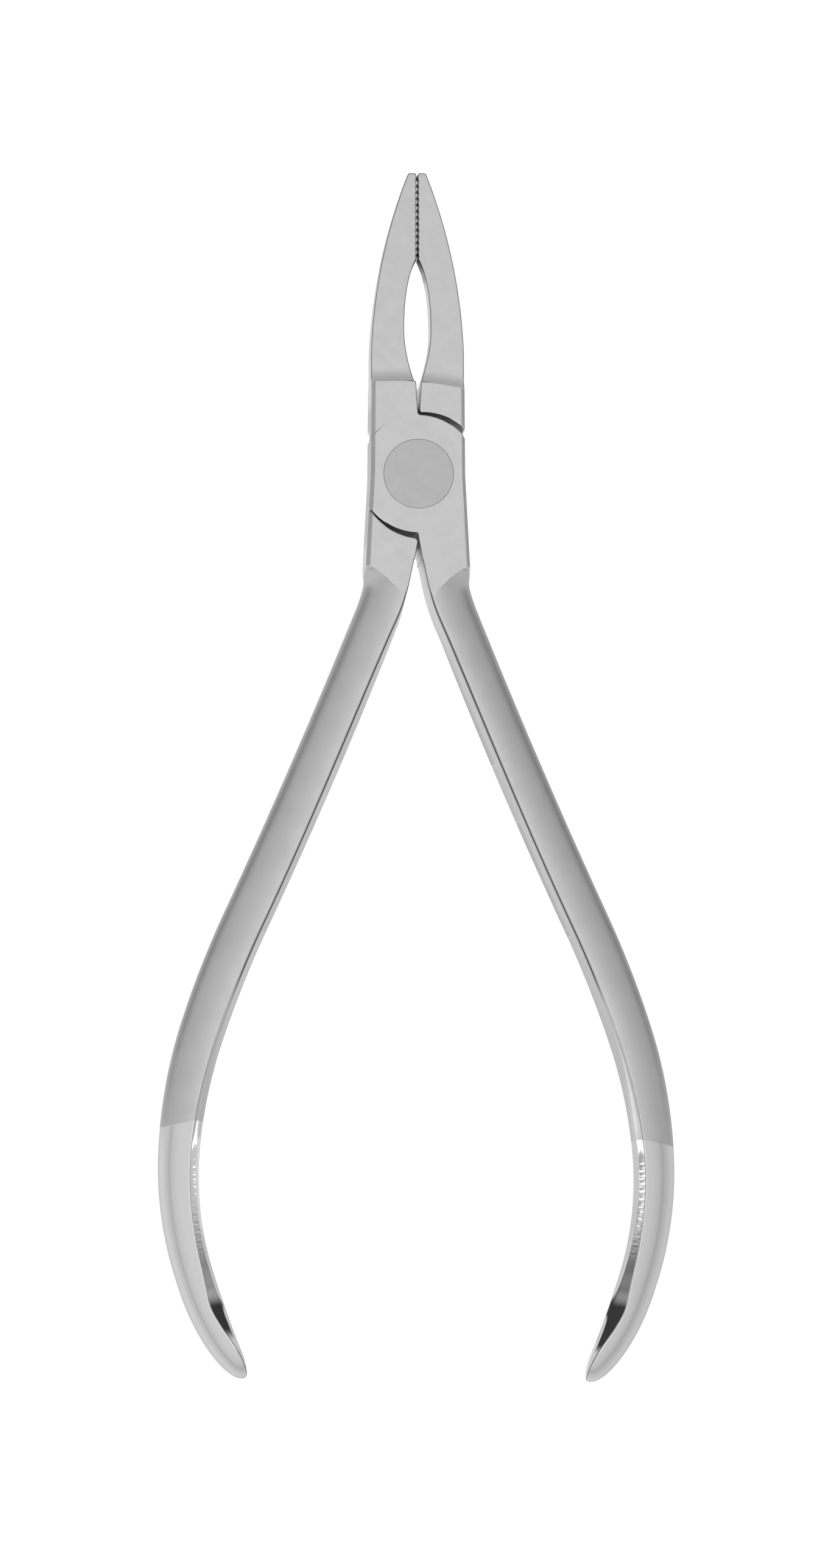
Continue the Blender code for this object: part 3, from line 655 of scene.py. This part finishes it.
def placeOnPiece(tree):
    # Object coordinates, also in millimetres and without their sign, and how the face stands there:
    # inward is x times the normal's x, below zero where the face looks to the middle
    coordinates = addNode(tree, "ShaderNodeTexCoord")
    large = addNode(tree, "ShaderNodeVectorMath", operation="SCALE")
    large.inputs["Scale"].default_value = 1 / mm
    tree.links.new(coordinates.outputs["Object"], large.inputs[0])
    x, y, _ = splitVector(tree, large.outputs["Vector"])
    normalX, _, normalZ = splitVector(tree, coordinates.outputs["Normal"])
    return dict(metres=coordinates.outputs["Object"], y=y, aside=mathNode(tree, "ABSOLUTE", x),
                fromPin=mathNode(tree, "ABSOLUTE", y), level=mathNode(tree, "ABSOLUTE", normalZ),
                inward=product(tree, x, normalX))


def roundedEdges(tree, clearOfPin):
    # The rounded normal, and its dot product with the face's own: how far the edge has turned
    rounded = addNode(tree, "ShaderNodeBevel", samples=edge["samples"])
    feed(tree, rounded.inputs["Radius"], mixed(tree, clearOfPin, edge["pinRadius"], edge["radius"]))
    plain = addNode(tree, "ShaderNodeNewGeometry")
    turn = addNode(tree, "ShaderNodeVectorMath", operation="DOT_PRODUCT")
    tree.links.new(rounded.outputs["Normal"], turn.inputs[0])
    tree.links.new(plain.outputs["Normal"], turn.inputs[1])
    return rounded.outputs["Normal"], turn.outputs["Value"]


def edgeShade(tree, at, turn, clearOfPin):
    # A painted dark line where an edge turns most, a painted shade in place of the edge's reflection:
    # on the jaws, on the handles and in the middle of the joint, whose border runs in towards the slit at
    # the joint's top
    border = mapped(tree, at["y"], *edge["jointTop"], edge["jointMiddle"], edge["slitMiddle"])
    middle = falling(tree, mathNode(tree, "SUBTRACT", at["aside"], border), edge["middleFade"])
    away = mathNode(tree, "MAXIMUM", rising(tree, at["y"], edge["jaws"]),
                    falling(tree, at["y"], edge["handles"]))
    shown = product(tree, clearOfPin, mathNode(tree, "MAXIMUM", middle, away))
    line = mapped(tree, turn, *edge["darkTurn"], edge["darkness"], 0.0)
    return mathNode(tree, "SUBTRACT", 1.0, product(tree, line, shown))


def chamferShade(tree, at, turn):
    # The joint's chamfers are painted a shade darker, a painted shade, with a thin painted highlight line
    # along them; both stand in for the chamfers' reflections
    onJoint = product(tree, inside(tree, at["y"], chamfer["along"], chamfer["alongFade"]),
                      rising(tree, at["aside"], chamfer["aside"]))
    line = product(tree, onJoint, falling(tree, turn, chamfer["lineTurn"]))
    slope = product(tree, onJoint, inside(tree, at["level"], chamfer["level"], chamfer["levelFade"]))
    return product(tree, mathNode(tree, "MULTIPLY_ADD", line, chamfer["lineBrightness"], 1.0),
                   mathNode(tree, "MULTIPLY_ADD", slope, -chamfer["darkness"], 1.0))


def rimShade(tree, at):
    # The handles' inner rims and the top corner of the eye are painted dark: a painted shade that stands in
    # for the rims' reflections and for light that does not reach the eye's corner
    handleRim = product(tree, falling(tree, at["inward"], rim["inward"]),
                        inside(tree, at["y"], rim["along"], rim["alongFade"]),
                        inside(tree, at["level"], rim["level"], rim["levelFade"]))
    eyeTop = product(tree, inside(tree, at["y"], nook["along"], nook["alongFade"]),
                     falling(tree, at["aside"], nook["aside"]), falling(tree, at["level"], nook["level"]))
    dark = mathNode(tree, "MAXIMUM", handleRim, eyeTop)
    return mathNode(tree, "MULTIPLY_ADD", dark, -rim["darkness"], 1.0)


def groundWall(tree, at):
    # Upright walls are ground smoother than the faces, but not the lap's nor the teeth
    return product(tree, falling(tree, at["level"], wall["level"]),
                   rising(tree, at["fromPin"], wall["lapEnd"]), falling(tree, at["y"], wall["teethStart"]))


def polishedEnd(tree, at, start):
    # Mirror polish below a line that runs almost square to the handle
    out = mathNode(tree, "SUBTRACT", at["aside"], polish["innerX"])
    line = mathNode(tree, "SUBTRACT", start, product(tree, out, polish["fall"]))
    below = mathNode(tree, "SUBTRACT", line, at["y"])
    return mapped(tree, below, 0.0, polish["softness"], 0.0, 1.0, False)


def satinSteel(name, tone, polishStart=None):
    mat = bpy.data.materials.new(name)
    mat.use_nodes = True
    tree = mat.node_tree
    shader = tree.nodes["Principled BSDF"]
    shader.inputs["Metallic"].default_value = 1.0
    at = placeOnPiece(tree)
    grain = noise(tree, at["metres"], steel["grainScale"], steel["grainDetail"])
    mottle = noise(tree, at["metres"], steel["mottleScale"], steel["mottleDetail"])
    colour = mapped(tree, mottle, *steel["noiseSpan"], tone * (1 - steel["toneSpread"]),
                    tone * (1 + steel["toneSpread"]), False)
    rough = mapped(tree, grain, *steel["noiseSpan"], steel["roughness"] - steel["roughSpread"],
                   steel["roughness"] + steel["roughSpread"], False)
    clearOfPin = rising(tree, at["fromPin"], edge["pinEnd"])
    rounded, turn = roundedEdges(tree, clearOfPin)
    rough = mixed(tree, groundWall(tree, at), rough, wall["roughness"])
    rough = mixed(tree, falling(tree, turn, edge["wornTurn"]), rough, edge["roughness"])
    bumpStrength = steel["grainBump"]
    if polishStart is not None:
        mask = polishedEnd(tree, at, polishStart)
        rough = mixed(tree, mask, rough, polish["roughness"])
        colour = mixed(tree, mask, colour, polish["tone"])
        bumpStrength = mixed(tree, mask, steel["grainBump"], polish["bump"])
    # Painted light on the colour: the edges' dark line, the chamfers' shade and bright line, and the rims'
    # and nook's shade
    colour = product(tree, colour, edgeShade(tree, at, turn, clearOfPin), chamferShade(tree, at, turn),
                     rimShade(tree, at))
    grey = addNode(tree, "ShaderNodeCombineColor")
    for channel in ("Red", "Green", "Blue"):
        tree.links.new(colour, grey.inputs[channel])
    bump = addNode(tree, "ShaderNodeBump")
    bump.inputs["Distance"].default_value = steel["bumpDepth"]
    feed(tree, bump.inputs["Strength"], bumpStrength)
    tree.links.new(grain, bump.inputs["Height"])
    tree.links.new(rounded, bump.inputs["Normal"])
    for output, name in ((grey.outputs["Color"], "Base Color"), (rough, "Roughness"),
                         (bump.outputs["Normal"], "Normal")):
        tree.links.new(output, shader.inputs[name])
    return mat


pieces = (
    (upperHalf, "upper_half", "upper", "upper_steel",
     satinSteel("satinUpper", steel["tone"], polish["upperStart"])),
    (lowerHalf, "lower_half", "lower", "lower_steel",
     satinSteel("satinLower", steel["tone"], polish["lowerStart"])),
    (pivotPin, "pivot_pin", "lower", "pin_steel", satinSteel("groundPin", steel["pinTone"])),
)
for piece, node, body, slotName, mat in pieces:
    piece.data.materials.clear()
    piece.data.materials.append(mat)
    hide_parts(node)
    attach(piece, body)
print("finishes on", len(pieces), "pieces")


# Stage: a plain white floor that only the camera sees, and the light around it as the world. The dark
# side's four pairs are smooth steps of the direction's Y and Z.

room = dict(floorZ=-0.02 * mm, floorSize=40.0, white=1.05, leftTilt=0.08, darkDepth=0.94,
            darkNear=(0.16, 0.42), darkFar=(0.70, 0.85), darkBottom=(-0.50, -0.38), darkTop=(0.0, 0.12))
# Height above the horizon as the sine of the angle, and how bright the room is there
roomLevels = ((-1.0, 0.86), (-0.93, 0.80), (-0.80, 0.58), (-0.41, 0.68), (-0.07, 0.66), (0.14, 0.60),
              (0.30, 0.56), (0.42, 0.52), (0.485, 0.45), (0.54, 0.52), (0.64, 0.58), (0.83, 0.66),
              (1.0, 0.70))


def shadersBySide(tree, side, shaders, target):
    # The first shader where side is nothing, the second where it is one
    both = addNode(tree, "ShaderNodeMixShader")
    for socket, output in zip(both.inputs, (side, *(shader.outputs[0] for shader in shaders))):
        tree.links.new(output, socket)
    tree.links.new(both.outputs[0], tree.nodes[target].inputs["Surface"])


def makeFloor():
    # White from above and clear from below, so that the back of the pliers can be looked at too
    mat = bpy.data.materials.new("whiteFloor")
    mat.use_nodes = True
    tree = mat.node_tree
    tree.nodes.remove(tree.nodes["Principled BSDF"])
    glow = addNode(tree, "ShaderNodeEmission")
    glow.inputs["Strength"].default_value = room["white"]
    clear = addNode(tree, "ShaderNodeBsdfTransparent")
    below = addNode(tree, "ShaderNodeNewGeometry").outputs["Backfacing"]
    shadersBySide(tree, below, (glow, clear), "Material Output")
    mesh = bpy.data.meshes.new("floor")
    corners = np.array([(-1, -1, 0), (1, -1, 0), (1, 1, 0), (-1, 1, 0)]) * room["floorSize"] / 2
    mesh.from_pydata((corners + (0, 0, room["floorZ"])).tolist(), [], [(0, 1, 2, 3)])
    mesh.materials.append(mat)
    floor = bpy.data.objects.new("floor", mesh)
    bpy.context.scene.collection.objects.link(floor)
    for seen in ("visible_glossy", "visible_diffuse", "visible_shadow", "visible_transmission"):
        setattr(floor, seen, False)


def makeWorld():
    # Light by height, a little brighter to the left, with a low dark side beyond the jaws. The
    # camera itself looks into plain white.
    world = bpy.data.worlds.new("studio")
    bpy.context.scene.world = world
    world.use_nodes = True
    tree = world.node_tree
    light = tree.nodes["Background"]
    x, y, z = splitVector(tree, addNode(tree, "ShaderNodeTexCoord").outputs["Generated"])
    ramp = addNode(tree, "ShaderNodeValToRGB")
    tree.links.new(mathNode(tree, "MULTIPLY_ADD", z, 0.5, 0.5), ramp.inputs["Fac"])
    points = ramp.color_ramp.elements
    while len(points) < len(roomLevels):
        points.new(0.5)
    for point, (height, level) in zip(points, roomLevels):
        point.position = (height + 1) / 2
        point.color = (level, level, level, 1.0)
    left = mathNode(tree, "MULTIPLY_ADD", x, -room["leftTilt"], 1.0)
    dark = product(tree, room["darkDepth"], rising(tree, y, room["darkNear"]),
                   falling(tree, y, room["darkFar"]), rising(tree, z, room["darkBottom"]),
                   falling(tree, z, room["darkTop"]))
    tree.links.new(ramp.outputs["Color"], light.inputs["Color"])
    tree.links.new(product(tree, left, mathNode(tree, "SUBTRACT", 1.0, dark)), light.inputs["Strength"])
    white = addNode(tree, "ShaderNodeBackground")
    white.inputs["Strength"].default_value = room["white"]
    seen = addNode(tree, "ShaderNodeLightPath").outputs["Is Camera Ray"]
    shadersBySide(tree, seen, (light, white), "World Output")


# A softbox overhead, and two small bright cards that the polished inner edges mirror: one lies on
# the floor for the left handle, one stands between the handles for the right. Energy is in watts.
lights = (dict(name="softbox", place=(90, -40, 1250), size=(670, 670), energy=0.70, turn=(0, 0, 0)),
          dict(name="leftCard", place=(7.0, -74.35, 0.0), size=(17.0, 5.2), energy=0.00035,
               turn=(180, 0, 0)),
          dict(name="rightCard", place=(-1.0, -74.6, 3.5), size=(7.0, 6.2), energy=0.00019,
               turn=(0, -90, 0)))


def makeLights():
    for values in lights:
        light = bpy.data.lights.new(values["name"], "AREA")
        light.shape = "RECTANGLE"
        light.size, light.size_y = (v * mm for v in values["size"])
        light.energy = values["energy"]
        obj = bpy.data.objects.new(values["name"], light)
        obj.location = [v * mm for v in values["place"]]
        obj.rotation_euler = [math.radians(v) for v in values["turn"]]
        bpy.context.scene.collection.objects.link(obj)
        obj.visible_camera = False


# Camera: a long lens, leaning over from the handles' side and a little from the left

view = dict(height=2576, mmPerPixel=0.0697, lean=8.1, yaw=4.46, distance=4000.0, aim=(0.15, -35.4, 3.6),
            sensor=36.0, clip=(0.1, 100.0))


def makeCamera():
    lens = bpy.data.cameras.new("camera")
    lens.sensor_fit = "VERTICAL"
    lens.sensor_height = view["sensor"]
    lens.lens = view["sensor"] * view["distance"] / (view["height"] * view["mmPerPixel"])
    lens.clip_start, lens.clip_end = view["clip"]
    camera = bpy.data.objects.new("camera", lens)
    bpy.context.scene.collection.objects.link(camera)
    back = Vector((-math.tan(math.radians(view["yaw"])), -math.tan(math.radians(view["lean"])), 1))
    back.normalize()
    right = Vector((0, 1, 0)).cross(back).normalized()
    up = back.cross(right)
    camera.rotation_euler = Matrix((right, up, back)).transposed().to_euler()
    camera.location = (Vector(view["aim"]) + back * view["distance"]) * mm
    bpy.context.scene.camera = camera


makeFloor()
makeWorld()
makeLights()
makeCamera()
bpy.context.scene.view_settings.view_transform = "Standard"
print("stage, light and camera set")
